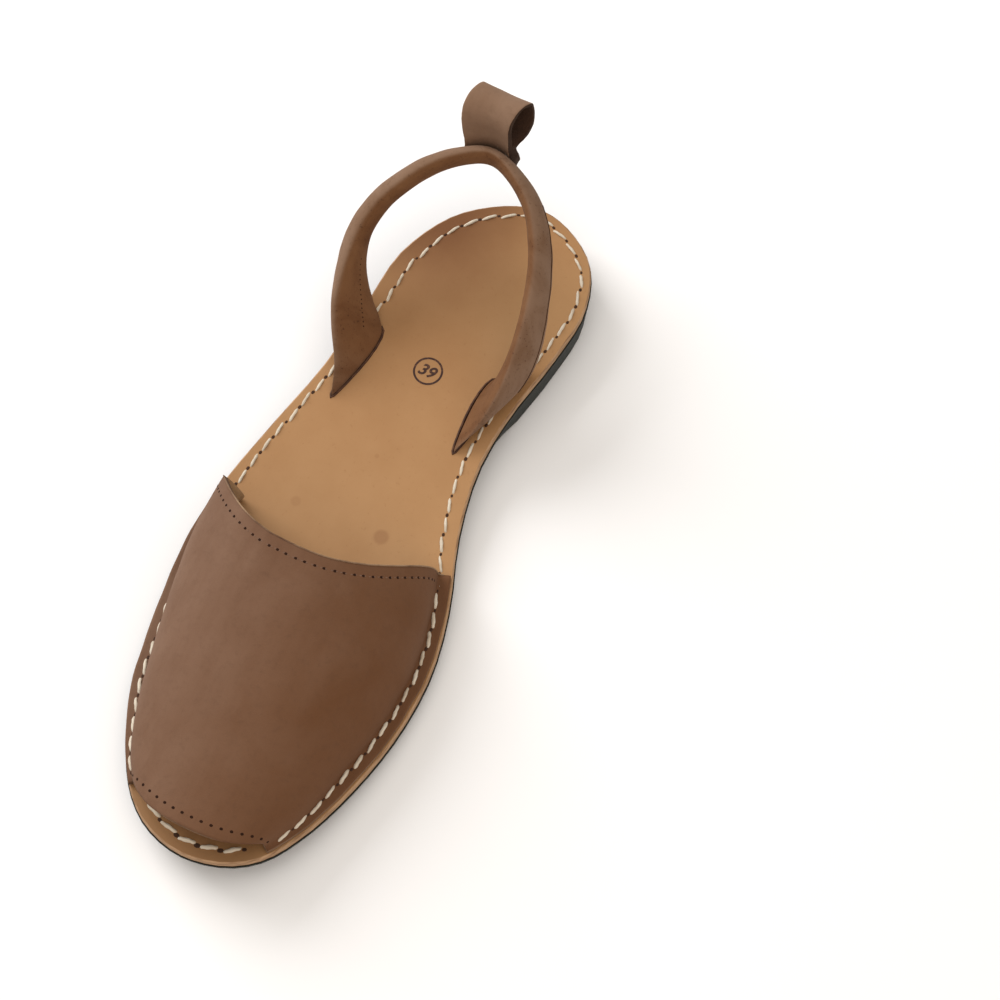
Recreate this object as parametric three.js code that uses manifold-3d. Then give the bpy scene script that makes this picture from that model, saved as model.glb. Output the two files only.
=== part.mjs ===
// Slingback sandal with a peep toe, for the right foot. Sizes are in millimetres.
// The toe points along +Y, the outer side of the foot is +X and the floor is z = 0.
// The origin is on the floor under the middle of the heel.

import * as THREE from 'three';
import { mergeVertices } from 'three/addons/utils/BufferGeometryUtils.js';
import Module from 'manifold-3d';

// Sole outline
const shoeLength = 266;
const heelWidth = 70;
const waistWidth = 66.5;
const ballWidth = 97;
const heelOverhang = 34;

// Sole thickness and bend
const outsoleThickness = 5;
const heelLift = 9;
const footbedThickness = 3;
const toeSpring = 9;
const seatGap = 0.3;
const sideUndercut = 2.4;
const sideLip = 0.7;
const lipHeight = 1.6;
const footbedInset = 0.4;
const footbedEdgeRound = 0.5;

// Tread
const grooveWidth = 2.6;
const grooveDepth = 1.4;
const groovePitch = 8.5;
const grooveReach = 15;
const treadZones = [
  { from: 0.06, to: 0.255 },
  { from: 0.5, to: 0.95 },
];

// Vamp
const vampThickness = 1.8;
const vampHeight = 36;
const lateralFlangeInset = 0.6;
const medialFlangeInset = 1.3;
const lateralCreaseInset = 5.4;
const medialCreaseInset = 5.9;
const lateralPeepInset = 2.1;
const medialPeepInset = 2.9;
const peepTaperStart = 0.66;
const creaseRadius = 1.2;
const throatBow = 22;
const peepBow = 6.5;
const bowSquareness = 2.4;
const lateralBulge = 2.2;
const medialBulge = 0.8;

// Heel strap and its slots
const strapWidth = 13;
const strapThickness = 7.6;
const strapSpan = 69;
const strapRise = 46.6;
const strapReach = 69.5;
const slotCentre = 50.5;
const strapInwardLean = 12;
const strapTurnStart = 0.03;
const strapTurnEnd = 0.27;
const slotClearance = 0.35;
const lateralSlotSkew = 0.12;
const medialSlotSkew = 0.04;
const slotOvershoot = 2;

// Pull tab
const tabWidth = 19.5;
const tabShift = 3;
const tabLeaf = 1.7;
const tabHeight = 19.6;
const tabTail = 8.5;
const tabDepth = 13;
const tabLean = 40;
const tabLeanStart = 0.3;
const tabSlit = 1;

// Outline of the sole as seen from above. Each row gives its place along the length, the named
// width that it follows and its distance from the heel's centre line as a share of that width.
const medialRows = [
  { along: 0.04, width: heelWidth, out: 0.373 },
  { along: 0.11, width: heelWidth, out: 0.488 },
  { along: 0.20, width: heelWidth, out: 0.471 },
  { along: 0.30, width: waistWidth, out: 0.433 },
  { along: 0.38, width: waistWidth, out: 0.420 },
  { along: 0.47, width: ballWidth, out: 0.336 },
  { along: 0.56, width: ballWidth, out: 0.425 },
  { along: 0.65, width: ballWidth, out: 0.479 },
  { along: 0.74, width: ballWidth, out: 0.478 },
  { along: 0.83, width: ballWidth, out: 0.436 },
  { along: 0.91, width: ballWidth, out: 0.367 },
  { along: 0.96, width: ballWidth, out: 0.289 },
  { along: 0.988, width: ballWidth, out: 0.186 },
];
const lateralRows = [
  { along: 0.05, width: heelWidth, out: 0.314 },
  { along: 0.14, width: heelWidth, out: 0.494 },
  { along: 0.24, width: heelWidth, out: 0.520 },
  { along: 0.34, width: waistWidth, out: 0.579 },
  { along: 0.44, width: ballWidth, out: 0.460 },
  { along: 0.54, width: ballWidth, out: 0.514 },
  { along: 0.64, width: ballWidth, out: 0.518 },
  { along: 0.74, width: ballWidth, out: 0.477 },
  { along: 0.84, width: ballWidth, out: 0.408 },
  { along: 0.92, width: ballWidth, out: 0.297 },
  { along: 0.965, width: ballWidth, out: 0.198 },
  { along: 0.99, width: ballWidth, out: 0.092 },
];
const heelTip = { width: heelWidth, out: -0.043 };
const toeTip = { width: ballWidth, out: -0.043 };

// Where the sole bends, as shares of the shoe's length.
const bend = {
  heelSeatEnd: 0.25,
  ballStart: 0.58,
  springStart: 0.66,
  breastFoot: 0.275,
  breastTop: 0.33,
};

// Corners of the vamp along the sole's edge, as shares of the shoe's length.
const vampCorners = {
  lateral: { throat: 0.545, peep: 0.952 },
  medial: { throat: 0.522, peep: 0.953 },
};

// Sections of the vamp from throat to peep toe. Height is a share of the vamp's height, and
// the two squareness columns shape the outer and inner side of the arch.
const vampRows = [
  { along: 0.00, height: 1.00, lateral: 2.75, medial: 1.88 },
  { along: 0.25, height: 0.93, lateral: 2.60, medial: 2.00 },
  { along: 0.50, height: 0.80, lateral: 2.40, medial: 2.05 },
  { along: 0.75, height: 0.62, lateral: 2.25, medial: 2.05 },
  { along: 1.00, height: 0.44, lateral: 2.15, medial: 2.05 },
];

// Sections of the heel strap from its slot to its highest point at the back. Back and up are
// shares of reach and rise, lateral and medial are shares of the strap's span for the two sides,
// tilt is the slope of the section in degrees, long and thick are shares of the strap's width and
// thickness, and taper thins the front edge.
const strapRows = [
  { back: 0, up: 0.012, lateral: 0.412, medial: 0.258, tilt: -4, long: 1.18, thick: 0.62, taper: 0.5 },
  { back: 0.08, up: 0.095, lateral: 0.455, medial: 0.318, tilt: 1, long: 1, thick: 1, taper: 0.4 },
  { back: 0.17, up: 0.185, lateral: 0.525, medial: 0.35, tilt: 8, long: 0.9, thick: 1.24, taper: 0.3 },
  { back: 0.27, up: 0.29, lateral: 0.586, medial: 0.362, tilt: 20, long: 0.8, thick: 1.3, taper: 0.2 },
  { back: 0.38, up: 0.405, lateral: 0.629, medial: 0.355, tilt: 32, long: 0.69, thick: 1.26, taper: 0.1 },
  { back: 0.508, up: 0.53, lateral: 0.643, medial: 0.325, tilt: 45, long: 0.59, thick: 1.17, taper: 0 },
  { back: 0.646, up: 0.662, lateral: 0.607, medial: 0.278, tilt: 56, long: 0.54, thick: 1.1, taper: 0 },
  { back: 0.764, up: 0.787, lateral: 0.525, medial: 0.215, tilt: 64, long: 0.52, thick: 1.06, taper: 0 },
  { back: 0.876, up: 0.899, lateral: 0.414, medial: 0.118, tilt: 70, long: 0.51, thick: 0.96, taper: 0 },
  { back: 0.955, up: 0.972, lateral: 0.288, medial: -0.014, tilt: 74, long: 0.5, thick: 0.86, taper: 0 },
];
const strapApex = { back: 1, up: 1, lateral: 0.159, tilt: 75, long: 0.5, thick: 0.8, taper: 0 };

// Half depth of the pull tab's loop from its neck to its top, as shares of height and depth.
const tabRows = [
  { up: 0.00, depth: 0.135 },
  { up: 0.14, depth: 0.16 },
  { up: 0.32, depth: 0.35 },
  { up: 0.54, depth: 0.49 },
  { up: 0.74, depth: 0.49 },
  { up: 0.91, depth: 0.33 },
];

const wasm = await Module();
wasm.setup();

const weldDistance = 1e-4;
const clamp = THREE.MathUtils.clamp;
const lerp = THREE.MathUtils.lerp;
const backY = -heelOverhang;
const yAt = (along) => backY + along * shoeLength;

// Smooth curve through the values of one column of a table
function tableCurve(rows, key, column) {
  return (place) => {
    const last = rows.length - 1;
    let row = 0;
    while (row < last - 1 && place > rows[row + 1][key]) row += 1;
    const value = (index) => rows[clamp(index, 0, last)][column];
    const share = (place - rows[row][key]) / (rows[row + 1][key] - rows[row][key]);
    const [a, b, c, d] = [value(row - 1), value(row), value(row + 1), value(row + 2)];
    const curved = 2 * a - 5 * b + 4 * c - d + share * (3 * b - a - 3 * c + d);
    return b + 0.5 * share * (c - a + share * curved);
  };
}

// Sole edge

const edgeCurve = new THREE.CatmullRomCurve3([
  new THREE.Vector3(heelTip.out * heelTip.width, backY, 0),
  ...medialRows.map((row) => new THREE.Vector3(-row.out * row.width, yAt(row.along), 0)),
  new THREE.Vector3(toeTip.out * toeTip.width, yAt(1), 0),
  ...lateralRows.map((row) => new THREE.Vector3(row.out * row.width, yAt(row.along), 0)).reverse(),
], true, 'centripetal');
const edgeCount = 600;
const edgePoints = edgeCurve.getSpacedPoints(edgeCount).slice(0, edgeCount);

// The edge moved inward, split at heel and toe into two lists that both run from heel to toe
function insetEdge(inset) {
  const moved = edgePoints.map((point, i) => {
    const before = edgePoints[(i + edgeCount - 1) % edgeCount];
    const after = edgePoints[(i + 1) % edgeCount];
    const inward = new THREE.Vector3(after.y - before.y, before.x - after.x, 0).normalize();
    return { x: point.x + inset * inward.x, y: point.y + inset * inward.y, inward };
  });
  const heights = moved.map((point) => point.y);
  const back = heights.indexOf(Math.min(...heights));
  const toe = heights.indexOf(Math.max(...heights));
  const ordered = [...moved.slice(back), ...moved.slice(0, back)];
  const split = (toe - back + edgeCount) % edgeCount;
  const medial = ordered.slice(0, split + 1);
  const lateral = [...ordered.slice(split), ordered[0]].reverse();
  return { medial, lateral };
}

// Point of one side of an edge at the height y on the page, with its inward direction
function edgeAt(list, y) {
  const last = list.length - 1;
  if (y <= list[0].y) return list[0];
  if (y >= list[last].y) return list[last];
  let low = 0;
  let high = last;
  while (high - low > 1) {
    const middle = (low + high) >> 1;
    if (list[middle].y <= y) low = middle;
    else high = middle;
  }
  const share = (y - list[low].y) / (list[high].y - list[low].y);
  return {
    x: lerp(list[low].x, list[high].x, share),
    y,
    inward: list[low].inward.clone().lerp(list[high].inward, share).normalize(),
  };
}

// Heights of the sole's surfaces along its length

const alongAt = (y) => clamp((y - backY) / shoeLength, 0, 1);

function liftAt(y) {
  const drop = THREE.MathUtils.smoothstep(alongAt(y), bend.heelSeatEnd, bend.ballStart);
  return heelLift * (1 - drop);
}

function springAt(y) {
  return toeSpring * clamp((alongAt(y) - bend.springStart) / (1 - bend.springStart), 0, 1) ** 2;
}

const outsoleTop = (y) => outsoleThickness + liftAt(y) + springAt(y);
const footbedBase = (y) => outsoleTop(y) + seatGap;
const footbedTop = (y) => footbedBase(y) + footbedThickness;

function outsoleBase(y) {
  const breast = clamp((alongAt(y) - bend.breastFoot) / (bend.breastTop - bend.breastFoot), 0, 1);
  return breast * liftAt(y) + springAt(y);
}

// Closed bodies

function closedGeometry(positions, triangles) {
  const geometry = new THREE.BufferGeometry();
  const values = positions.flatMap((point) => [point.x, point.y, point.z]);
  geometry.setAttribute('position', new THREE.Float32BufferAttribute(values, 3));
  geometry.setIndex(triangles.flat());
  const merged = mergeVertices(geometry, weldDistance);
  const index = merged.getIndex().array;
  const kept = [];
  for (let i = 0; i < index.length; i += 3) {
    const [a, b, c] = [index[i], index[i + 1], index[i + 2]];
    if (a !== b && b !== c && c !== a) kept.push(a, b, c);
  }
  merged.setIndex(kept);
  return merged;
}

// Skin over rings of equally many points, with each end closed by strips across its ring
function loft(rings, capEnds) {
  const count = rings[0].length;
  const triangles = [];
  for (let r = 0; r < rings.length - 1; r += 1) {
    for (let i = 0; i < count; i += 1) {
      const a = r * count + i;
      const b = r * count + ((i + 1) % count);
      triangles.push([a, b + count, b], [a, a + count, b + count]);
    }
  }
  if (capEnds) {
    const end = (rings.length - 1) * count;
    for (let i = 0; i < count / 2; i += 1) {
      const [a, b, c, d] = [i, i + 1, count - i - 1, (count - i) % count];
      triangles.push([a, b, c], [a, c, d]);
      triangles.push([end + a, end + c, end + b], [end + a, end + d, end + c]);
    }
  }
  return closedGeometry(rings.flat(), triangles);
}

// Sheet between an outer and an inner grid of points
function sheet(outer, inner) {
  const rows = outer.length;
  const columns = outer[0].length;
  const offset = rows * columns;
  const at = (r, c) => r * columns + c;
  const triangles = [];
  const quad = (a, b, c, d) => triangles.push([a, c, b], [a, d, c]);
  for (let r = 0; r < rows - 1; r += 1) {
    for (let c = 0; c < columns - 1; c += 1) {
      quad(at(r, c), at(r, c + 1), at(r + 1, c + 1), at(r + 1, c));
      quad(offset + at(r, c), offset + at(r + 1, c), offset + at(r + 1, c + 1), offset + at(r, c + 1));
    }
    const last = columns - 1;
    quad(at(r, 0), at(r + 1, 0), offset + at(r + 1, 0), offset + at(r, 0));
    quad(at(r, last), offset + at(r, last), offset + at(r + 1, last), at(r + 1, last));
  }
  for (let c = 0; c < columns - 1; c += 1) {
    const last = rows - 1;
    quad(at(0, c), offset + at(0, c), offset + at(0, c + 1), at(0, c + 1));
    quad(at(last, c), at(last, c + 1), offset + at(last, c + 1), offset + at(last, c));
  }
  return closedGeometry([...outer.flat(), ...inner.flat()], triangles);
}

function toSolid(geometry) {
  const bare = geometry.clone();
  bare.deleteAttribute('normal');
  bare.deleteAttribute('uv');
  const merged = mergeVertices(bare, weldDistance);
  const vertProperties = new Float32Array(merged.getAttribute('position').array);
  const triVerts = new Uint32Array(merged.getIndex().array);
  return new wasm.Manifold(new wasm.Mesh({ numProp: 3, vertProperties, triVerts }));
}

function fromSolid(solid) {
  const mesh = solid.getMesh();
  const geometry = new THREE.BufferGeometry();
  const positions = new Float32Array(mesh.vertProperties);
  geometry.setAttribute('position', new THREE.BufferAttribute(positions, 3));
  geometry.setIndex(new THREE.BufferAttribute(new Uint32Array(mesh.triVerts), 1));
  return geometry;
}

// Body of the sole's outline, from layers that each have an inset and a height along the length
function soleLayers(layers, stations) {
  const edges = layers.map((layer) => insetEdge(layer.inset));
  const point = (layer, side, share) => {
    const list = edges[layer][side];
    const y = lerp(list[0].y, list[list.length - 1].y, share);
    return new THREE.Vector3(edgeAt(list, y).x, y, layers[layer].height(y));
  };
  const rings = stations.map((share) => {
    const medial = layers.map((_, i) => point(i, 'medial', share));
    const lateral = layers.map((_, i) => point(i, 'lateral', share)).reverse();
    return [...medial, ...lateral].reverse();
  });
  return loft(rings, false);
}

const stationCount = 48;
const evenStations = Array.from({ length: stationCount + 1 }, (_, i) => (
  (1 - Math.cos((Math.PI * i) / stationCount)) / 2
));
const soleStations = [...evenStations, bend.breastFoot, bend.breastTop].sort((a, b) => a - b);

// Outsole

function treadCutters() {
  const cutters = [];
  const edge = insetEdge(0);
  for (const zone of treadZones) {
    const count = Math.floor(((zone.to - zone.from) * shoeLength) / groovePitch);
    for (let i = 0; i <= count; i += 1) {
      const y = yAt(zone.from) + i * groovePitch;
      const climb = outsoleBase(y + grooveWidth / 2) - outsoleBase(y - grooveWidth / 2);
      const slope = Math.atan2(climb, grooveWidth);
      for (const side of ['medial', 'lateral']) {
        const outward = side === 'medial' ? -1 : 1;
        const reach = grooveReach + sideUndercut;
        const cutter = new THREE.BoxGeometry(2 * reach, grooveWidth, 2 * grooveDepth);
        cutter.rotateX(slope);
        cutter.translate(edgeAt(edge[side], y).x + outward * (reach - grooveReach), y, outsoleBase(y));
        cutters.push(toSolid(cutter));
      }
    }
  }
  return cutters;
}

function outsoleGeometry() {
  const body = soleLayers([
    { inset: sideUndercut, height: outsoleBase },
    { inset: sideLip, height: (y) => outsoleBase(y) + lipHeight },
    { inset: sideLip, height: (y) => outsoleTop(y) - lipHeight },
    { inset: 0, height: (y) => outsoleTop(y) - lipHeight / 2 },
    { inset: 0, height: outsoleTop },
  ], soleStations);
  const cutters = treadCutters();
  const tread = cutters.reduce((sum, cutter) => sum.add(cutter));
  return fromSolid(toSolid(body).subtract(tread));
}

// Heel strap

const skews = { lateral: lateralSlotSkew, medial: medialSlotSkew };

function strapPlace(row, side) {
  const across = (side === 'lateral' ? row.lateral : -row.medial) * strapSpan;
  const y = slotCentre - row.back * strapReach;
  return new THREE.Vector3(across, y, footbedTop(slotCentre) + row.up * strapRise);
}

function strapStations() {
  const turnOf = (row) => THREE.MathUtils.smoothstep(row.back, strapTurnStart, strapTurnEnd);
  const branch = (name, side) => strapRows.map((row) => (
    { ...row, centre: strapPlace(row, name), turn: turnOf(row), skew: skews[name], side }
  ));
  const lateral = branch('lateral', 1);
  const medial = branch('medial', -1);
  const apex = { ...strapApex, centre: strapPlace(strapApex, 'lateral'), turn: 1, skew: 0, side: 0 };
  return [...lateral, apex, ...medial.reverse()];
}

// One ring of the strap. It lies along its slot at the foot and turns square across the strap.
function strapRing(station, tangent, grow) {
  const tilt = THREE.MathUtils.degToRad(station.tilt);
  const skew = station.skew * (1 - station.turn);
  const lean = station.side * station.turn * Math.tan(THREE.MathUtils.degToRad(strapInwardLean));
  const sideways = skew * Math.cos(tilt) - lean * Math.sin(tilt);
  const along = new THREE.Vector3(sideways, Math.cos(tilt), Math.sin(tilt)).normalize();
  const upward = new THREE.Vector3(0, -Math.sin(tilt), Math.cos(tilt)).multiplyScalar(station.heading);
  const across = upward.lerp(tangent, station.turn).normalize();
  const outward = new THREE.Vector3().crossVectors(along, across).normalize();
  const long = new THREE.Vector3().crossVectors(across, outward).normalize();
  const points = [];
  for (let i = 0; i < strapSides; i += 1) {
    const angle = (2 * Math.PI * i) / strapSides;
    const reach = station.long * strapWidth + grow;
    const half = (station.thick * strapThickness * (1 - station.taper * Math.cos(angle))) / 2 + grow;
    points.push(station.centre.clone()
      .addScaledVector(long, reach * Math.cos(angle))
      .addScaledVector(outward, half * Math.sin(angle)));
  }
  return points;
}

const strapSides = 18;
const strapSteps = 3;

function strapRings() {
  const rows = strapStations();
  const path = new THREE.CatmullRomCurve3(rows.map((row) => row.centre), false, 'centripetal');
  const last = rows.length - 1;
  const columns = ['tilt', 'turn', 'long', 'thick', 'taper', 'skew', 'side'];
  const indexed = rows.map((row, index) => ({ ...row, index }));
  const curves = columns.map((column) => tableCurve(indexed, 'index', column));
  const rings = [];
  for (let step = 0; step <= last * strapSteps; step += 1) {
    const place = step / strapSteps;
    const station = Object.fromEntries(columns.map((column, i) => [column, curves[i](place)]));
    station.turn = clamp(station.turn, 0, 1);
    station.centre = path.getPoint(place / last);
    station.heading = place < last / 2 ? 1 : -1;
    rings.push(strapRing(station, path.getTangent(place / last), 0));
  }
  return rings;
}

// Ring at the foot of the strap, moved straight down or up to follow a surface of the sole
function footRing(side, surface, grow) {
  const row = strapRows[0];
  const station = { ...row, centre: strapPlace(row, side), turn: 0, skew: skews[side], side: 0 };
  station.heading = side === 'lateral' ? 1 : -1;
  return strapRing(station, new THREE.Vector3(0, 0, 1), grow)
    .map((point) => new THREE.Vector3(point.x, point.y, surface(point.y)));
}

function strapGeometry() {
  const foot = (y) => footbedBase(y);
  const rings = [footRing('lateral', foot, 0), ...strapRings(), footRing('medial', foot, 0)];
  return loft(rings, true);
}

// Footbed

function slotCutter(side) {
  const below = footRing(side, (y) => footbedBase(y) - slotOvershoot, slotClearance);
  const above = footRing(side, (y) => footbedTop(y) + slotOvershoot, slotClearance);
  const rings = side === 'lateral' ? [below, above] : [above, below];
  return toSolid(loft(rings, true));
}

function footbedGeometry() {
  const body = soleLayers([
    { inset: footbedInset, height: footbedBase },
    { inset: footbedInset, height: (y) => footbedTop(y) - footbedEdgeRound },
    { inset: footbedInset + footbedEdgeRound, height: footbedTop },
  ], soleStations);
  return fromSolid(toSolid(body).subtract(slotCutter('lateral')).subtract(slotCutter('medial')));
}

// Vamp

const soleEdge = insetEdge(0);
const vampInsets = {
  lateral: { flange: lateralFlangeInset, crease: lateralCreaseInset, peep: lateralPeepInset },
  medial: { flange: medialFlangeInset, crease: medialCreaseInset, peep: medialPeepInset },
};

function vampFoot(side, share) {
  const corners = vampCorners[side];
  const y = yAt(lerp(corners.throat, corners.peep, share));
  const edge = edgeAt(soleEdge[side], y);
  const insets = vampInsets[side];
  const creaseInset = lerp(insets.crease, insets.peep, THREE.MathUtils.smoothstep(share, peepTaperStart, 1));
  const place = (inset, rise) => {
    const point = new THREE.Vector3(edge.x, y, 0).addScaledVector(edge.inward, inset);
    point.z = footbedTop(point.y) + seatGap + vampThickness + rise;
    return point;
  };
  return { place, creaseInset, edgeInset: insets.flange, outward: edge.inward.clone().negate() };
}

const creaseRise = creaseRadius * (1 - Math.SQRT1_2);
const archSteps = 20;
const vampStations = 22;
const archHeight = tableCurve(vampRows, 'along', 'height');
const squareness = {
  lateral: tableCurve(vampRows, 'along', 'lateral'),
  medial: tableCurve(vampRows, 'along', 'medial'),
};

// Outer line of one section of the vamp, from the lateral edge of its flange to the medial one
function vampLine(share) {
  const lateral = vampFoot('lateral', share);
  const medial = vampFoot('medial', share);
  const flange = ({ place, creaseInset, edgeInset }) => [
    place(edgeInset, 0),
    place(creaseInset - creaseRadius, 0),
    place(creaseInset - creaseRise, creaseRise),
  ];
  const feet = {
    lateral: lateral.place(lateral.creaseInset, creaseRadius),
    medial: medial.place(medial.creaseInset, creaseRadius),
  };
  const middle = feet.lateral.clone().add(feet.medial).multiplyScalar(0.5);
  const half = feet.lateral.clone().sub(middle);
  const rise = archHeight(share) * vampHeight - creaseRadius - vampThickness;
  const bow = lerp(throatBow, peepBow, share);
  const arch = [];
  for (let i = 0; i <= archSteps; i += 1) {
    const angle = (Math.PI * i) / archSteps;
    const side = i <= archSteps / 2 ? 'lateral' : 'medial';
    const power = 2 / squareness[side](share);
    const across = Math.sign(Math.cos(angle)) * Math.abs(Math.cos(angle)) ** power;
    const up = Math.abs(Math.sin(angle)) ** power;
    const point = middle.clone().addScaledVector(half, across);
    point.y += bow * (1 - Math.abs(across) ** bowSquareness);
    point.z += rise * up;
    const fullBulge = side === 'lateral' ? lateralBulge : medialBulge;
    const outward = side === 'lateral' ? lateral.outward : medial.outward;
    point.addScaledVector(outward, fullBulge * (1 - share) * Math.sin(Math.PI * up));
    arch.push(point);
  }
  return [...flange(lateral), ...arch, ...flange(medial).reverse()];
}

// The inner grid lies one wall thickness under the outer one, square to its surface
function innerGrid(outer) {
  const rows = outer.length;
  const columns = outer[0].length;
  return outer.map((line, r) => line.map((point, c) => {
    const forward = outer[Math.min(r + 1, rows - 1)][c].clone().sub(outer[Math.max(r - 1, 0)][c]);
    const before = point.clone().sub(line[Math.max(c - 1, 0)]).normalize();
    const after = line[Math.min(c + 1, columns - 1)].clone().sub(point).normalize();
    const normal = before.add(after).cross(forward).normalize();
    return point.clone().addScaledVector(normal, vampThickness);
  }));
}

function vampGeometry() {
  const outer = Array.from({ length: vampStations + 1 }, (_, i) => vampLine(i / vampStations));
  return sheet(outer, innerGrid(outer));
}

// Pull tab

const tabSteps = 6;
const tabRise = 9;
const crestShare = 0.38;
const crestCount = 200;

// Points of the strap's middle line near its top, each with the strap's half thickness there
function strapCrest() {
  const rows = strapStations().map((row, index) => ({ ...row, index }));
  const path = new THREE.CatmullRomCurve3(rows.map((row) => row.centre), false, 'centripetal');
  const thickAt = tableCurve(rows, 'index', 'thick');
  const crest = [];
  for (let i = 0; i <= crestCount; i += 1) {
    const share = lerp(crestShare, 1 - crestShare, i / crestCount);
    const tangent = path.getTangent(share);
    const slant = Math.hypot(tangent.x, tangent.y) / Math.abs(tangent.x);
    const half = (thickAt(share * (rows.length - 1)) * strapThickness * slant) / 2;
    crest.push({ point: path.getPoint(share), half });
  }
  return crest;
}

// Side view of the loop: up along the tab's middle line and depth to either side of it
function tabOutline(leaf) {
  const depthAt = tableCurve(tabRows, 'up', 'depth');
  const top = tabRows[tabRows.length - 1].up;
  const side = [];
  for (let i = 0; i <= tabRise; i += 1) {
    const up = (top * i) / tabRise;
    const half = depthAt(up) * tabDepth - leaf;
    if (half > tabSlit / 2 || leaf === 0) side.push({ up: up * tabHeight, half });
  }
  const crown = { up: tabHeight - leaf, half: 0 };
  return { side, crown };
}

function tabGeometry() {
  const outer = tabOutline(0);
  const inner = tabOutline(tabLeaf);
  const neck = outer.side[0].half;
  const shape = new THREE.Shape([
    new THREE.Vector2(-neck, -tabTail),
    new THREE.Vector2(neck, -tabTail),
    ...outer.side.map((row) => new THREE.Vector2(row.half, row.up)),
    new THREE.Vector2(0, outer.crown.up),
    ...outer.side.map((row) => new THREE.Vector2(-row.half, row.up)).reverse(),
  ]);
  shape.holes.push(new THREE.Path([
    ...inner.side.map((row) => new THREE.Vector2(row.half, row.up)),
    new THREE.Vector2(0, inner.crown.up),
    ...inner.side.map((row) => new THREE.Vector2(-row.half, row.up)).reverse(),
  ]));
  const settings = { depth: tabWidth, steps: tabSteps, bevelEnabled: false };
  const geometry = new THREE.ExtrudeGeometry(shape, settings);
  const position = geometry.getAttribute('position');
  const crest = strapCrest();
  const apex = strapPlace(strapApex, 'lateral');
  const tilt = THREE.MathUtils.degToRad(strapApex.tilt);
  for (let i = 0; i < position.count; i += 1) {
    const x = apex.x + tabShift + tabWidth / 2 - position.getZ(i);
    const offset = (place) => Math.abs(place.point.x - x);
    const near = crest.reduce((best, place) => (offset(place) < offset(best) ? place : best));
    const depth = position.getX(i);
    const up = position.getY(i);
    const climb = clamp(up / tabHeight, 0, 1);
    const lean = tilt + THREE.MathUtils.degToRad(tabLean) * clamp(up / (tabLeanStart * tabHeight), 0, 1);
    const centre = near.point.clone().lerp(new THREE.Vector3(x, apex.y, apex.z), climb);
    const standOff = near.half + seatGap + neck;
    const y = centre.y - standOff * Math.sin(tilt) + up * Math.cos(lean) - depth * Math.sin(lean);
    const z = centre.z + standOff * Math.cos(tilt) + up * Math.sin(lean) + depth * Math.cos(lean);
    position.setXYZ(i, x, y, z);
  }
  geometry.deleteAttribute('normal');
  geometry.deleteAttribute('uv');
  return mergeVertices(geometry, weldDistance);
}

// Materials

const rubber = new THREE.MeshStandardMaterial({ color: 0x2b3430, roughness: 0.8, metalness: 0 });
const tanLeather = new THREE.MeshStandardMaterial({ color: 0xc49a6c, roughness: 0.55, metalness: 0 });
const nubuck = new THREE.MeshStandardMaterial({ color: 0x94745c, roughness: 0.95, metalness: 0 });

function addPiece(group, name, geometry, material) {
  geometry.computeVertexNormals();
  const mesh = new THREE.Mesh(geometry, material);
  mesh.name = name;
  group.add(mesh);
}

const sandal = new THREE.Group();
addPiece(sandal, 'outsole', outsoleGeometry(), rubber);
addPiece(sandal, 'footbed', footbedGeometry(), tanLeather);
addPiece(sandal, 'vamp', vampGeometry(), nubuck);
addPiece(sandal, 'heel_strap', strapGeometry(), nubuck);
addPiece(sandal, 'pull_tab', tabGeometry(), nubuck);

export default sandal;
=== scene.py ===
import math
import random

import bmesh
import bpy
from mathutils import Matrix, Vector, noise
from mathutils.bvhtree import BVHTree


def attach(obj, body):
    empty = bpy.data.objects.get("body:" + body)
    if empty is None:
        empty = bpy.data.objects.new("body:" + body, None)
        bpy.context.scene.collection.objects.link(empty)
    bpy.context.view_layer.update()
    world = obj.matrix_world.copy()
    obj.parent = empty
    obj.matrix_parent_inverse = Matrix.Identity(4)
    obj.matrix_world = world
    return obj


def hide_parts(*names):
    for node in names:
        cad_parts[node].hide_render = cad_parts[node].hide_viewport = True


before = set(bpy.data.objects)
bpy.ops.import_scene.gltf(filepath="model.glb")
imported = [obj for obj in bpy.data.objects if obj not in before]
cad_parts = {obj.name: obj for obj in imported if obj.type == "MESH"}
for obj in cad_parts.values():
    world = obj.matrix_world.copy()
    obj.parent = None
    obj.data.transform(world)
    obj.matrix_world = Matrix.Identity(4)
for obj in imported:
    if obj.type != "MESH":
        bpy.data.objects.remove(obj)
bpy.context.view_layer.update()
for spare in ("Cube", "Light", "Camera"):
    if spare in bpy.data.objects:
        bpy.data.objects.remove(bpy.data.objects[spare])

# Outsole: one moulding of dark green-black rubber with a low heel block and tread lugs along its
# rim. Its sides are as the mould leaves them, with a fine grain, and take up dust near the floor.


class Wire:
    """A socket of a shader node that adds and multiplies like a number."""

    def __init__(self, tree, socket):
        self.tree = tree
        self.socket = socket

    def node(self, kind, settings, inputs, out=0):
        made = self.tree.nodes.new(kind)
        for name, value in settings.items():
            setattr(made, name, value)
        for name, value in inputs.items():
            if isinstance(value, Wire):
                self.tree.links.new(value.socket, made.inputs[name])
            else:
                made.inputs[name].default_value = value
        return Wire(self.tree, made.outputs[out])

    def sum(self, operation, *values):
        settings = {"operation": operation}
        return self.node("ShaderNodeMath", settings, dict(enumerate(values)))

    def __add__(self, other):
        return self.sum("ADD", self, other)

    __radd__ = __add__

    def __rsub__(self, other):
        return self.sum("SUBTRACT", other, self)

    def __mul__(self, other):
        return self.sum("MULTIPLY", self, other)

    __rmul__ = __mul__

    def clipped(self, low, high):
        settings = {"interpolation_type": "SMOOTHSTEP"}
        inputs = {"Value": self, "From Min": low, "From Max": high}
        return self.node("ShaderNodeMapRange", settings, inputs)

    def blend(self, first, second):
        """Colour between two colours, where this wire is the share of the second."""
        settings = {"data_type": "RGBA"}
        return self.node("ShaderNodeMix", settings, {0: self, 6: first, 7: second}, out=2)


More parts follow.
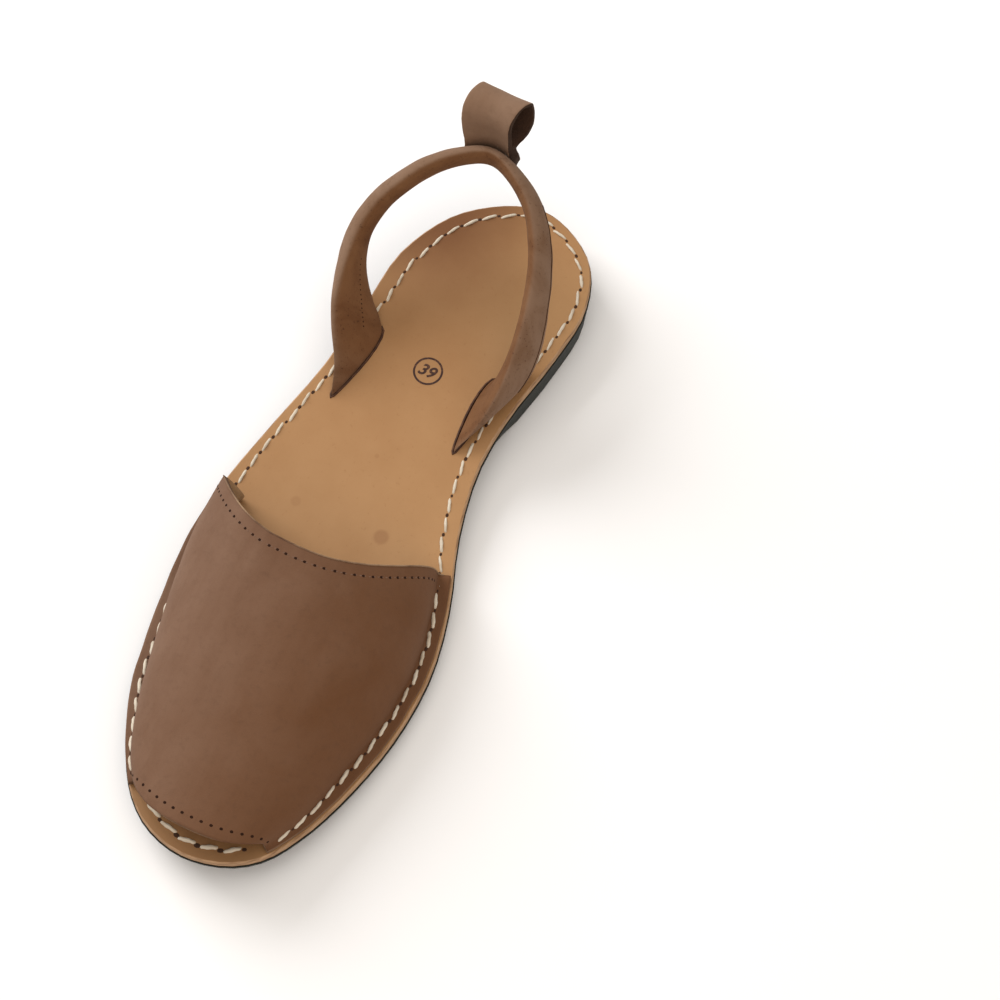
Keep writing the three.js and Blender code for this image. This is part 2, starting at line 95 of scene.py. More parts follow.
def new_finish(name, sheen=0.0, shine=0.3):
    material = bpy.data.materials.new(name)
    material.use_nodes = True
    tree = material.node_tree
    shader = tree.nodes["Principled BSDF"]
    shader.inputs["Sheen Weight"].default_value = sheen
    shader.inputs["Sheen Roughness"].default_value = 0.6
    shader.inputs["Sheen Tint"].default_value = (0.75, 0.55, 0.42, 1)
    shader.inputs["Specular IOR Level"].default_value = shine
    place = Wire(tree, None).node("ShaderNodeTexCoord", {}, {}, out="Object")
    return material, shader, place


def cloud(place, scale, detail=4.0, roughness=0.55, distortion=0.0):
    inputs = {
        "Vector": place,
        "Scale": scale,
        "Detail": detail,
        "Roughness": roughness,
        "Distortion": distortion,
    }
    return place.node("ShaderNodeTexNoise", {}, inputs)


def feed(shader, colour, roughness, height, depth):
    """Joins colour, roughness and a bump of the given depth to the shader."""
    bump = height.node("ShaderNodeBump", {}, {"Height": height, "Distance": depth})
    links = height.tree.links
    links.new(colour.socket, shader.inputs["Base Color"])
    links.new(roughness.socket, shader.inputs["Roughness"])
    links.new(bump.socket, shader.inputs["Normal"])


def copy_of(node, name):
    """Copy of a CAD node with its loose triangles joined, which then stands for the node."""
    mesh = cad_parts[node].data.copy()
    mesh.materials.clear()
    piece = bpy.data.objects.new(name, mesh)
    bpy.context.scene.collection.objects.link(piece)
    shape = bmesh.new()
    shape.from_mesh(mesh)
    bmesh.ops.remove_doubles(shape, verts=shape.verts, dist=2e-6)
    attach(piece, "root")
    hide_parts(node)
    return piece, shape


def sharp_edges(shape, angle):
    return [e for e in shape.edges if len(e.link_faces) == 2 and e.calc_face_angle() > angle]


def finish_mesh(piece, shape, angle=0.6):
    """Puts the shape into its piece, smooth but for edges sharper than the angle."""
    for face in shape.faces:
        face.smooth = True
    for edge in sharp_edges(shape, angle):
        edge.smooth = False
    shape.to_mesh(piece.data)
    shape.free()


outsole, shape = copy_of("outsole", "rubber_outsole")
finish_mesh(outsole, shape, 0.5)

rubber, shader, place = new_finish("moulded_rubber")
grain = cloud(place, 900.0, detail=6.0)
dust = cloud(place, 55.0, detail=5.0).clipped(0.5, 0.85)
height_above_floor = place.node("ShaderNodeSeparateXYZ", {}, {"Vector": place}, out="Z")
low_down = 1.0 - height_above_floor.clipped(0.0, 0.006)
worn = dust * (0.25 + 0.5 * low_down)
dark_green, grey_dust = (0.0070, 0.0092, 0.0058, 1), (0.034, 0.033, 0.027, 1)
feed(shader, worn.blend(dark_green, grey_dust), 0.6 + 0.25 * worn, grain, 0.00012)
outsole.data.materials.append(rubber)

# Footbed: insole board of natural vegetable-tanned leather, cut to the outline of the sole and
# glued on the rubber. Its cut edge is lighter, and two slots take the ends of the heel strap.

footbed, shape = copy_of("footbed", "leather_footbed")
for face in shape.faces:
    face.material_index = 0 if face.normal.z > 0.8 else 1
finish_mesh(footbed, shape, 0.4)

tan_top, shader, place = new_finish("natural_tan_leather")
pores = cloud(place, 1500.0, detail=3.0)
fibres = cloud(place, 260.0, detail=5.0)
mottle = cloud(place, 22.0, detail=6.0, roughness=0.6)
patches = cloud(place, 9.0, detail=2.0)
across = place.node("ShaderNodeSeparateXYZ", {}, {"Vector": place}, out="X")
along = place.node("ShaderNodeSeparateXYZ", {}, {"Vector": place}, out="Y")
heel_shade = (1.0 - along.clipped(-0.012, 0.045)) * across.clipped(-0.024, 0.032)
toe_shade = along.clipped(0.206, 0.226)
tone = (mottle * 0.55 + patches * 0.45).clipped(0.30, 0.72)
pale_tan, warm_tan = (0.385, 0.212, 0.088, 1), (0.315, 0.158, 0.058, 1)
heel_brown, stain_brown = (0.125, 0.038, 0.006, 1), (0.215, 0.088, 0.028, 1)
toe_brown = (0.185, 0.098, 0.045, 1)
colour = tone.blend(pale_tan, warm_tan)
colour = (heel_shade * 0.85 * (0.75 + 0.5 * mottle)).blend(colour, heel_brown)
colour = (toe_shade * 0.5 * (0.75 + 0.5 * mottle)).blend(colour, toe_brown)
stains = [  # x, y, radius, strength
    (-0.0086, 0.1030, 0.0029, 0.42),
    (0.0236, 0.1043, 0.0021, 0.22),
    (0.006, 0.078, 0.0012, 0.25),
]
for x, y, radius, strength in stains:
    settings = {"operation": "DISTANCE"}
    flat = place.node("ShaderNodeVectorMath", {"operation": "MULTIPLY"}, {0: place, 1: (1, 1, 0)})
    away = flat.node("ShaderNodeVectorMath", settings, {0: flat, 1: (x, y, 0)}, out="Value")
    spot = 1.0 - (away + 0.0008 * mottle).clipped(radius * 0.75, radius * 1.25)
    colour = (spot * strength).blend(colour, stain_brown)
speckle = cloud(place, 700.0, detail=2.0).clipped(0.64, 0.74)
colour = (speckle * 0.18).blend(colour, stain_brown)
feed(shader, colour, 0.46 + 0.18 * mottle, pores * 0.35 + fibres * 0.65, 0.00007)
footbed.data.materials.append(tan_top)

tan_edge, shader, place = new_finish("cut_edge_of_tan_leather")
layers = place.node("ShaderNodeMapping", {}, {"Vector": place, "Scale": (1, 1, 9)})
streaks = cloud(layers, 160.0, detail=5.0)
edge_light, edge_brown = (0.42, 0.26, 0.145, 1), (0.20, 0.105, 0.05, 1)
colour = streaks.clipped(0.35, 0.75).blend(edge_light, edge_brown)
feed(shader, colour, 0.75 + 0.1 * streaks, streaks, 0.0002)
footbed.data.materials.append(tan_edge)

# Slot linings: the two slots in the footbed are punched through, and their dark burnished edges
# stand a little proud around the ends of the heel strap.


def sharp_loops(shape, angle):
    """Closed lines of sharp edges, as lists of corners, with short links between lines left out."""
    edges = set(sharp_edges(shape, angle))
    count = {}
    for edge in edges:
        for vert in edge.verts:
            count[vert] = count.get(vert, 0) + 1
    edges = {e for e in edges if not all(count[v] > 2 for v in e.verts)}
    links = {}
    for edge in edges:
        first, second = edge.verts
        links.setdefault(first, []).append(second)
        links.setdefault(second, []).append(first)
    corners = {v for v, n in count.items() if n > 2}
    loops = []
    seen = set()
    for start in sorted(links, key=lambda v: v.index):
        if start in seen:
            continue
        loop = [start]
        seen.add(start)
        while True:
            onward = [v for v in links[loop[-1]] if v not in seen]
            if not onward:
                break
            loop.append(onward[0])
            seen.add(onward[0])
        if len(loop) > 5:
            loops.append([(v.co.copy(), v in corners) for v in loop])
    return loops


def perimeter(points):
    return sum((a - b).length for a, b in zip(points, points[1:] + points[:1]))


shape = bmesh.new()
shape.from_mesh(footbed.data)
shape.verts.index_update()
footbed_tree = BVHTree.FromBMesh(shape)
footbed_loops = [[point for point, _ in loop] for loop in sharp_loops(shape, 0.6)]
shape.free()
footbed_loops.sort(key=lambda loop: -sum(point.z for point in loop) / len(loop))
sole_line = next(loop for loop in footbed_loops if perimeter(loop) > 0.5)
slot_lines = [loop for loop in footbed_loops if perimeter(loop) < 0.1][:2]

burnished, shader, place = new_finish("burnished_slot_edge")
wear = cloud(place, 400.0)
dark_brown, mid_brown = (0.045, 0.016, 0.007, 1), (0.11, 0.045, 0.02, 1)
feed(shader, wear.clipped(0.4, 0.8).blend(dark_brown, mid_brown), 0.6 + 0.1 * wear, wear, 0.0001)


def cord(name, points, radius, finish, closed=True):
    """A thin round line along the points, with its thickness in the points themselves."""
    line = bpy.data.curves.new(name, "CURVE")
    line.dimensions = "3D"
    line.bevel_depth = 1.0
    line.bevel_resolution = 3
    spline = line.splines.new("POLY")
    spline.points.add(len(points) - 1)
    for target, point in zip(spline.points, points):
        target.co = (*point, 1)
        target.radius = radius
    spline.use_cyclic_u = closed
    line.materials.append(finish)
    piece = bpy.data.objects.new(name, line)
    bpy.context.scene.collection.objects.link(piece)
    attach(piece, "root")


slot_edge_radius, slot_edge_outward, slot_edge_lift = 0.00042, 0.0001, Vector((0, 0, 0.00002))
for line in slot_lines:
    side = "lateral" if line[0].x > 0 else "medial"
    centre = sum(line, Vector()) / len(line)
    lifted = [p + (p - centre).normalized() * slot_edge_outward + slot_edge_lift for p in line]
    cord(side + "_slot_edge", lifted, slot_edge_radius, burnished)

# Size mark: a plain number in a ring, stamped in brown ink on the footbed behind the arch. The ink
# lies thin on the leather and is a little worn.

ink, shader, place = new_finish("brown_ink")
wear = cloud(place, 900.0)
ink_dark, ink_worn = (0.035, 0.012, 0.008, 1), (0.12, 0.05, 0.025, 1)
feed(shader, wear.clipped(0.5, 0.75).blend(ink_dark, ink_worn), 0.6 + 0.1 * wear, wear, 0.00002)
mark_place = Vector((0.0043, 0.0428, 0.0))
mark_ring, mark_line, mark_height, ink_depth = 0.0049, 0.00036, 0.0060, 0.00006

text = bpy.data.curves.new("size_number", "FONT")
text.body = "39"
text.size = mark_height
text.align_x = "CENTER"
text.align_y = "CENTER"
text.shear = 0.25
text.offset = 0.00015
text_piece = bpy.data.objects.new("size_number", text)
bpy.context.scene.collection.objects.link(text_piece)
bpy.context.view_layer.update()
ready = bpy.context.evaluated_depsgraph_get()
number_mesh = bpy.data.meshes.new_from_object(text_piece.evaluated_get(ready))
bpy.data.objects.remove(text_piece)


def on_footbed(x, y, rise):
    hit, normal, _, _ = footbed_tree.ray_cast(Vector((x, y, 0.05)), Vector((0, 0, -1)))
    return hit + normal * rise


def new_piece(name, shape, finish):
    """Makes a piece of its own from a finished shape."""
    mesh = bpy.data.meshes.new(name)
    shape.to_mesh(mesh)
    shape.free()
    mesh.materials.append(finish)
    piece = bpy.data.objects.new(name, mesh)
    bpy.context.scene.collection.objects.link(piece)
    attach(piece, "root")


shape = bmesh.new()
shape.from_mesh(number_mesh)
bmesh.ops.triangulate(shape, faces=shape.faces)
for axis in range(2):
    spread = [vert.co[axis] for vert in shape.verts]
    for vert in shape.verts:
        vert.co[axis] -= (min(spread) + max(spread)) / 2
ring = bmesh.new()
for radius in (mark_ring + mark_line, mark_ring - mark_line):
    bmesh.ops.create_circle(ring, segments=64, radius=radius, cap_ends=False)
bmesh.ops.bridge_loops(ring, edges=ring.edges)
ring_mesh = bpy.data.meshes.new("ring")
ring.to_mesh(ring_mesh)
ring.free()
shape.from_mesh(ring_mesh)
for vert in shape.verts:
    vert.co = on_footbed(mark_place.x - vert.co.x, mark_place.y - vert.co.y, ink_depth)
bmesh.ops.recalc_face_normals(shape, faces=shape.faces)
for face in shape.faces:
    if face.normal.z < 0:
        face.normal_flip()
new_piece("size_mark", shape, ink)

# Vamp: one piece of taupe nubuck, lasted into a low arch and turned outward into a flange along
# both sides. Its rims are cut raw, its inside is loose suede.


def lengthwise_streaks(place, scale):
    inputs = {0: place, 1: (1, 0.12, 0.6)}
    stretched = place.node("ShaderNodeVectorMath", {"operation": "MULTIPLY"}, inputs)
    return cloud(stretched, scale, detail=4.0)


def nubuck_finish(name, light, dark, depth=0.00016, sheen=0.06, side_shade=0.0):
    material, shader, place = new_finish(name, sheen=sheen, shine=0.12)
    nap = cloud(place, 1900.0, detail=3.0)
    fibre = cloud(place, 420.0, detail=6.0, roughness=0.65)
    brushed = cloud(place, 38.0, detail=5.0, distortion=0.6)
    broad = cloud(place, 12.0, detail=3.0)
    streaks = lengthwise_streaks(place, 150.0)
    tone = (brushed * 0.35 + broad * 0.4 + streaks * 0.25).clipped(0.34, 0.66)
    colour = tone.blend(light, dark)
    # Painted shade: towards the medial side (-x), turned away from the key light, the colour is blended
    # into a darker warm brown.
    if side_shade:
        across = place.node("ShaderNodeSeparateXYZ", {}, {"Vector": place}, out="X")
        painted_side_shade = (1.0 - across.clipped(-0.036, 0.040)) * (0.7 + 0.6 * brushed)
        colour = (painted_side_shade * side_shade).blend(colour, (0.118, 0.048, 0.018, 1))
    flecks = fibre.clipped(0.45, 0.8)
    colour = (flecks * 0.22).blend(colour, tuple(0.55 * c for c in dark[:3]) + (1,))
    feed(shader, colour, 0.86 + 0.1 * brushed, nap * 0.5 + fibre * 0.5, depth)
    return material


taupe_light, taupe_dark = (0.180, 0.104, 0.067, 1), (0.132, 0.069, 0.041, 1)
# The vamp's nubuck carries painted shade on its medial side.
nubuck = nubuck_finish("taupe_nubuck", taupe_light, taupe_dark, side_shade=0.75)
suede_light, suede_dark = (0.46, 0.31, 0.17, 1), (0.32, 0.19, 0.095, 1)
suede = nubuck_finish("suede_inside", suede_light, suede_dark, depth=0.0004, sheen=0.12)
cut_light, cut_dark = (0.21, 0.125, 0.070, 1), (0.060, 0.026, 0.012, 1)
raw_edge = nubuck_finish("raw_cut_edge", cut_light, cut_dark, depth=0.0005)

vamp, shape = copy_of("vamp", "nubuck_vamp")
shape.verts.index_update()
rim_angle = 1.05
found = sorted(sharp_loops(shape, rim_angle), key=lambda loop: -sum(p.z for p, _ in loop) / len(loop))
outer_line, inner_line = found[0], found[1]
starts = [i for i, (_, corner) in enumerate(outer_line) if corner]
chains = []
for first, last in zip(starts, starts[1:] + [starts[0] + len(outer_line)]):
    chains.append([outer_line[i % len(outer_line)][0] for i in range(first, last + 1)])
middle_y = [sum(p.y for p in chain) / len(chain) for chain in chains]
throat_line = chains[middle_y.index(min(middle_y))]
peep_line = chains[middle_y.index(max(middle_y))]

on_rim = {tuple(round(q, 6) for q in p) for p, _ in outer_line}
on_inner_rim = {tuple(round(q, 6) for q in p) for p, _ in inner_line}
for face in shape.faces:
    marks = [tuple(round(q, 6) for q in v.co) for v in face.verts]
    outer = sum(mark in on_rim for mark in marks)
    inner = sum(mark in on_inner_rim for mark in marks)
    if outer + inner == 3 and outer and inner:
        face.material_index = 2
bmesh.ops.join_triangles(shape, faces=shape.faces, angle_face_threshold=0.7, angle_shape_threshold=3.0)
rims = {f for f in shape.faces if f.material_index == 2}
walls = [f for f in shape.faces if f not in rims]
top_face = max(walls, key=lambda f: f.calc_center_median().z)
outside = {top_face}
front = [top_face]
while front:
    face = front.pop()
    for edge in face.edges:
        for other in edge.link_faces:
            if other not in rims and other not in outside:
                outside.add(other)
                front.append(other)
for face in walls:
    face.material_index = 0 if face in outside else 1
crease = shape.edges.layers.float.new("crease_edge")
for edge in sharp_edges(shape, rim_angle):
    edge[crease] = 0.9
for face in shape.faces:
    face.smooth = True
shape.to_mesh(vamp.data)
shape.free()
for finish in (nubuck, suede, raw_edge):
    vamp.data.materials.append(finish)


def subdivided(piece, levels):
    """Bakes a subdivision surface into the piece's own mesh."""
    smooth = piece.modifiers.new("smooth", "SUBSURF")
    smooth.levels = levels
    smooth.render_levels = levels
    bpy.context.view_layer.update()
    ready = bpy.context.evaluated_depsgraph_get()
    made = bpy.data.meshes.new_from_object(piece.evaluated_get(ready))
    piece.modifiers.clear()
    piece.data = made
    return made


def ramp(start, end, value):
    """Rises from 0 at the start to 1 at the end."""
    return min(max((value - start) / (end - start), 0), 1)


wave_height, flange_wave, corner_pull, peep_push = 0.00042, 0.00035, 0.0046, 0.0022
mesh = subdivided(vamp, 2)
for vert in mesh.vertices:
    lift = max(vert.co.z - 0.013, 0.0)
    soft = min(lift / 0.010, 1.0)
    outward = Vector((vert.co.x, 0, 0.6 * lift)).normalized()
    wave = noise.noise(vert.co * 42.0) + 0.45 * noise.noise(vert.co * 110.0 + Vector((5, 1, 7)))
    vert.co += outward * (wave_height * soft * wave)
    back = ramp(0.136, 0.110, vert.co.y) * ramp(0.018, 0.038, vert.co.x)
    low_wall = ramp(0.0482, 0.0437, vert.co.x) * ramp(0.0255, 0.0135, vert.co.z)
    vert.co.x -= corner_pull * back ** 2 * low_wall
    vert.co.y += peep_push * ramp(0.198, 0.220, vert.co.y) ** 2 * ramp(0.0205, 0.0285, vert.co.z)
    vert.co.x += flange_wave * (1 - soft) * noise.noise(Vector((3, vert.co.y * 95.0, vert.co.x * 20.0)))
mesh.update()
shape = bmesh.new()
shape.from_mesh(mesh)
inside_faces = [f for f in shape.faces if f.material_index != 0]
bmesh.ops.delete(shape, geom=inside_faces, context="FACES")
vamp_tree = BVHTree.FromBMesh(shape)
shape.free()

# Machine stitching: two rows of small needle holes, one along the throat with brown thread sunk
# in its holes, and one along the peep toe.

brown_thread, shader, place = new_finish("brown_thread")
shade = cloud(place, 700.0)
thread_dark, thread_light = (0.085, 0.040, 0.022, 1), (0.20, 0.115, 0.075, 1)
feed(shader, shade.blend(thread_dark, thread_light), 0.7 + 0.1 * shade, shade, 0.00005)


def resampled(points, pitch):
    """Points at an even pitch along a line, each with the line's direction there."""
    total = sum((b - a).length for a, b in zip(points, points[1:]))
    count = max(int(total / pitch), 1)
    step = total / count
    made = []
    travelled, target = 0.0, 0.0
    for a, b in zip(points, points[1:]):
        length = (b - a).length
        while target <= travelled + length + 1e-9 and len(made) <= count:
            share = (target - travelled) / length if length else 0.0
            made.append((a.lerp(b, min(share, 1.0)), (b - a).normalized()))
            target += step
        travelled += length
    return made


def bead(shape, spot, along, normal, sizes):
    """Adds a small rounded bead with half sizes along the seam, across it and upward."""
    side = normal.cross(along).normalized()
    along = side.cross(normal).normalized()
    made = bmesh.ops.create_uvsphere(shape, u_segments=8, v_segments=6, radius=1.0)
    for vert in made["verts"]:
        x, y, z = vert.co
        vert.co = spot + along * (z * sizes[0]) + side * (y * sizes[1]) + normal * (x * sizes[2])


def stitch_row(name, line, inset, pitch, sizes, finish, skip):
    """A row of beads at a distance from a rim, leaving out the first and the last few."""
    shape = bmesh.new()
    spots = []
    for point, along in resampled(line, pitch)[skip:-skip]:
        near, normal, _, _ = vamp_tree.find_nearest(point)
        inward = normal.cross(along).normalized()
        if (inward.y > 0) != (inset > 0):
            inward = -inward
        spot, normal, _, _ = vamp_tree.find_nearest(point + inward * abs(inset))
        spots.append((spot, along, normal))
    for spot, along, normal in spots:
        bead(shape, spot - normal * 0.00008, along, normal, sizes)
    for face in shape.faces:
        face.smooth = True
    new_piece(name, shape, finish)


# Painted shade: each needle hole is a small near-black bead, standing for the shade inside the hole.
machine_hole_shade, shader, place = new_finish("machine_needle_hole", shine=0.1)
shade = cloud(place, 700.0)
pit_dark, pit_light = (0.010, 0.004, 0.002, 1), (0.035, 0.014, 0.007, 1)
feed(shader, shade.blend(pit_dark, pit_light), 0.9 + 0.05 * shade, shade, 0.00005)
throat_inset, throat_pitch, peep_inset, peep_pitch = 0.0040, 0.0031, -0.0016, 0.0033
throat_pit, peep_pit = (0.00066, 0.00054, 0.00020), (0.00062, 0.00056, 0.00022)
sunk_thread = (0.00045, 0.00026, 0.00020)
stitch_row("throat_holes", throat_line, throat_inset, throat_pitch, throat_pit, machine_hole_shade, skip=3)
thread_pitch = throat_pitch / 2
stitch_row("throat_thread", throat_line, throat_inset, thread_pitch, sunk_thread, brown_thread, skip=6)
stitch_row("peep_holes", peep_line, peep_inset, peep_pitch, peep_pit, machine_hole_shade, skip=1)

# Throat rim: the light loose fibres of the leather, which stand out along the throat because its
# edge is cut raw and not folded.

fibre_light, fibre_dark = (0.42, 0.28, 0.17, 1), (0.10, 0.050, 0.028, 1)
fibre_rim = nubuck_finish("loose_fibre_rim", fibre_light, fibre_dark, depth=0.0006)
rim_points = [vamp_tree.find_nearest(point)[0] for point, _ in resampled(throat_line, 0.0012)[2:-2]]
cord("throat_rim", rim_points, 0.00026, fibre_rim, closed=False)

# Sole stitching: thick waxed cream thread, sewn by hand through footbed and sole round the heel
# and waist, through the flanges of the vamp, and across the toe. It dives into a hole at each end.

cream, shader, place = new_finish("waxed_cream_thread")
strands = cloud(place, 900.0, detail=4.0)
grime = cloud(place, 120.0)
clean_cream, soiled_cream = (0.62, 0.55, 0.44, 1), (0.36, 0.28, 0.19, 1)
colour = grime.clipped(0.45, 0.8).blend(clean_cream, soiled_cream)
feed(shader, colour, 0.55 + 0.2 * strands, strands, 0.00018)

# Painted shade: a small near-black bead at the start of each stitch stands for the shade inside the
# hole where the thread dives in.
stitch_hole_shade, shader, place = new_finish("needle_hole")
shade = cloud(place, 900.0)
hole_black, hole_brown = (0.022, 0.009, 0.004, 1), (0.06, 0.024, 0.010, 1)
feed(shader, shade.blend(hole_black, hole_brown), 0.8 + 0.1 * shade, shade, 0.00005)

shape = bmesh.new()
for face_source in (footbed, vamp):
    shape.from_mesh(face_source.data)
sole_top_tree = BVHTree.FromBMesh(shape)
shape.free()
stitch_pitch, stitch_radius, hole_radius = 0.0070, 0.00066, 0.00085
toe_start, toe_inset, thread_inset, sides_part_at = 0.2197, 0.0048, 0.0009, -0.003
peep_corner = -0.0195
seam_inset = {  # place along the sole in metres, distance from its outline in millimetres
    "medial": [
        (-0.034, 4.2),
        (-0.020, 3.8),
        (0.0, 3.8),
        (0.020, 4.6),
        (0.045, 5.0),
        (0.075, 6.2),
        (0.095, 5.6),
        (0.130, 4.4),
        (0.190, 4.6),
        (0.205, 3.6),
        (0.2165, 2.3),
    ],
    "lateral": [
        (-0.034, 4.2),
        (-0.020, 5.4),
        (0.0, 6.4),
        (0.020, 6.2),
        (0.040, 5.0),
        (0.055, 3.9),
        (0.090, 3.9),
        (0.105, 4.6),
        (0.150, 4.0),
        (0.180, 3.8),
        (0.200, 3.4),
        (0.212, 1.9),
        (0.218, 1.8),
    ],
}


def inset_at(point):
    """Distance of the seam from the sole's outline, in metres."""
    if point.y > toe_start:
        return toe_inset
    rows = seam_inset["medial" if point.x < sides_part_at else "lateral"]
    for (y0, a), (y1, b) in zip(rows, rows[1:]):
        if point.y <= y1:
            return 0.001 * (a + (b - a) * max((point.y - y0) / (y1 - y0), 0))
    return 0.001 * rows[-1][1]


def seam_of(line):
    """The sole's outline moved inward to the seam, on top of the footbed or the vamp's flange."""
    count = len(line)
    turned = sum(a.x * b.y - b.x * a.y for a, b in zip(line, line[1:] + line[:1])) > 0
    seam = []
    for i, point in enumerate(line):
        along = line[(i + 1) % count] - line[i - 1]
        inward = Vector((-along.y, along.x, 0)).normalized() * (1 if turned else -1)
        seam.append(point + inward * (inset_at(point) - thread_inset))
    return seam


def drop(point):
    """The place and normal on the footbed or the flange under a point of the seam."""
    tree = footbed_tree if point.y > toe_start else sole_top_tree
    hit, normal, _, _ = tree.ray_cast(Vector((point.x, point.y, 0.030)), Vector((0, 0, -1)))
    if hit is None or normal.z < 0.3:
        near, normal, _, _ = sole_top_tree.find_nearest(point)
        return near, normal
    return hit, normal


def twisted_stitch(shape, middle, direction, normal, length, thick, slant, turn):
    """Adds one stitch of two-ply thread, thick in the middle, with both ends pulled down."""
    side = normal.cross(direction).normalized()
    made = bmesh.ops.create_uvsphere(shape, u_segments=8, v_segments=9, radius=1.0)
    for vert in made["verts"]:
        x, y, z = vert.co
        ring = math.hypot(x, y)
        angle = math.atan2(y, x)
        ply = 1 + 0.16 * math.cos(2 * angle + 6.5 * z + turn)
        full = thick * ply * min(1.0, ring ** 0.45)
        vert.co = (
            middle
            + direction * (z * length / 2)
            + side * (math.sin(angle) * full + slant * z)
            + normal * (math.cos(angle) * full * 0.8 - 0.00055 * abs(z) ** 3)
        )


random.seed(7)
threads, holes = bmesh.new(), bmesh.new()
seam = seam_of(sole_line)
first = next(i for i in range(len(seam)) if seam[i].y > toe_start and seam[i - 1].y <= toe_start)
seam = seam[first:] + seam[:first]
toe_count = sum(point.y > toe_start for point in seam)
runs = (resampled(seam[:toe_count], stitch_pitch), resampled(seam[toe_count:], stitch_pitch))
pairs = [pair for places in runs for pair in zip(places, places[1:])]
for (start, along), (end, _) in pairs:
    (a, normal_a), (b, normal_b) = drop(start), drop(end)
    at_toe = min(a.y, b.y) > toe_start
    near_medial_peep = at_toe and max(a.x, b.x) < peep_corner
    if near_medial_peep or not 0.004 < (b - a).length < 0.010:
        continue
    on_vamp = 0.110 < (a.y + b.y) / 2 < toe_start
    normal = (normal_a + normal_b).normalized()
    direction = (b - a).normalized()
    thick = stitch_radius * random.uniform(0.88, 1.1) * (1.25 if at_toe else 1.0 if on_vamp else 0.82)
    length = (b - a).length * random.uniform(0.78, 0.9)
    slant = random.uniform(0.00025, 0.0006) * (1.3 if at_toe else 1.0)
    lift = normal * (0.00018 + random.uniform(0, 0.0001))
    shift = normal.cross(direction) * random.uniform(-0.0003, 0.0003)
    middle = (a + b) / 2 + lift + shift
    twisted_stitch(threads, middle, direction, normal, length, thick, slant, random.uniform(0, 6))
    wide = hole_radius * random.uniform(0.8, 1.1) * (1.45 if at_toe else 1.0)
    bead(holes, a - normal_a * 0.00014, along, normal_a, (wide, wide * 0.8, 0.00028))
for source, name, finish in ((threads, "sole_stitching", cream), (holes, "stitch_holes", stitch_hole_shade)):
    for face in source.faces:
        face.smooth = True
    new_piece(name, source, finish)

# Heel strap: a band of nubuck folded lengthwise round the heel. Its inner face is drawn in along
# the fold, and its flat ends go down through the slots of the footbed.

strap, shape = copy_of("heel_strap", "nubuck_heel_strap")
bmesh.ops.join_triangles(shape, faces=shape.faces, angle_face_threshold=0.9, angle_shape_threshold=3.0)
for face in shape.faces:
    face.smooth = True
crease = shape.edges.layers.float.new("crease_edge")
for edge in sharp_edges(shape, 1.2):
    edge[crease] = 0.6
shape.to_mesh(strap.data)
shape.free()
strap_nubuck, shader, place = new_finish("strap_nubuck", sheen=0.06, shine=0.12)
nap = cloud(place, 1900.0, detail=3.0)
fibre = cloud(place, 420.0, detail=6.0, roughness=0.65)
rubbed = cloud(place, 60.0, detail=5.0, distortion=0.8)
# Painted light and shade: faces turned in towards the middle of the loop are blended into a darker
# shaded tone, and the outer rim keeps a lighter lit tone.
inner_face_shade = place.node("ShaderNodeAttribute", {"attribute_name": "inner_face_shade"}, {}, out="Fac")
lit_rim_tone = rubbed.clipped(0.35, 0.7).blend((0.190, 0.115, 0.073, 1), (0.146, 0.079, 0.044, 1))
shaded_trough_tone = rubbed.clipped(0.35, 0.7).blend((0.172, 0.080, 0.034, 1), (0.122, 0.051, 0.020, 1))
colour = (inner_face_shade + 0.3 * rubbed).clipped(0.1, 1.1).blend(lit_rim_tone, shaded_trough_tone)
specks = cloud(place, 1100.0, detail=1.0).clipped(0.63, 0.70) * rubbed.clipped(0.35, 0.6)
colour = (specks * 0.45).blend(colour, (0.030, 0.013, 0.007, 1))
feed(shader, colour, 0.86 + 0.1 * rubbed, nap * 0.5 + fibre * 0.5, 0.0002)
strap.data.materials.append(strap_nubuck)
mesh = subdivided(strap, 2)
loop_middle = Vector((0.0105, 0.030, 0.052))
trough_depth, crease_depth = 0.0005, 0.00026
# The share of each point facing the loop's middle sets both the painted shade and the depth of the
# trough.
mark = mesh.attributes.new("inner_face_shade", "FLOAT", "POINT")
normals = [vert.normal.copy() for vert in mesh.vertices]
for vert, normal in zip(mesh.vertices, normals):
    toward = loop_middle - vert.co
    toward.z *= 0.5
    share = ramp(0, 0.8, normal.dot(toward.normalized()))
    mark.data[vert.index].value = share
    creased = noise.noise(vert.co * 60.0) + 0.5 * noise.noise(vert.co * 170.0)
    above_root = ramp(0.024, 0.038, vert.co.z)
    vert.co -= normal * above_root * (trough_depth * share ** 2 - crease_depth * creased)
mesh.update()

# Needle dots: fine machine holes down the lateral root of the strap, where its two folded edges
# were sewn together before the end went into the slot.

shape = bmesh.new()
shape.from_mesh(mesh)
strap_tree = BVHTree.FromBMesh(shape)
shape.free()
shape = bmesh.new()
root_line = [  # x, y, z down the root
    (0.0370, 0.0240, 0.0400),
    (0.0362, 0.0300, 0.0350),
    (0.0350, 0.0360, 0.0300),
    (0.0335, 0.0410, 0.0255),
]
dot_pitch, dot_size, inner_side = 0.0016, (0.0003, 0.00026, 0.00012), Vector((0.004, 0, 0))
for point, _ in resampled([Vector(corner) for corner in root_line], dot_pitch):
    spot, normal, _, _ = strap_tree.find_nearest(point - inner_side)
    bead(shape, spot, Vector((0, 0, 1)), normal, dot_size)
# The dots are the same near-black beads, painted shade inside the needle holes.
new_piece("strap_needle_dots", shape, machine_hole_shade)

# Cut edge of the strap: where the folded band closes, its raw edge shows as a thin dark line down
# the outer side of the medial branch.

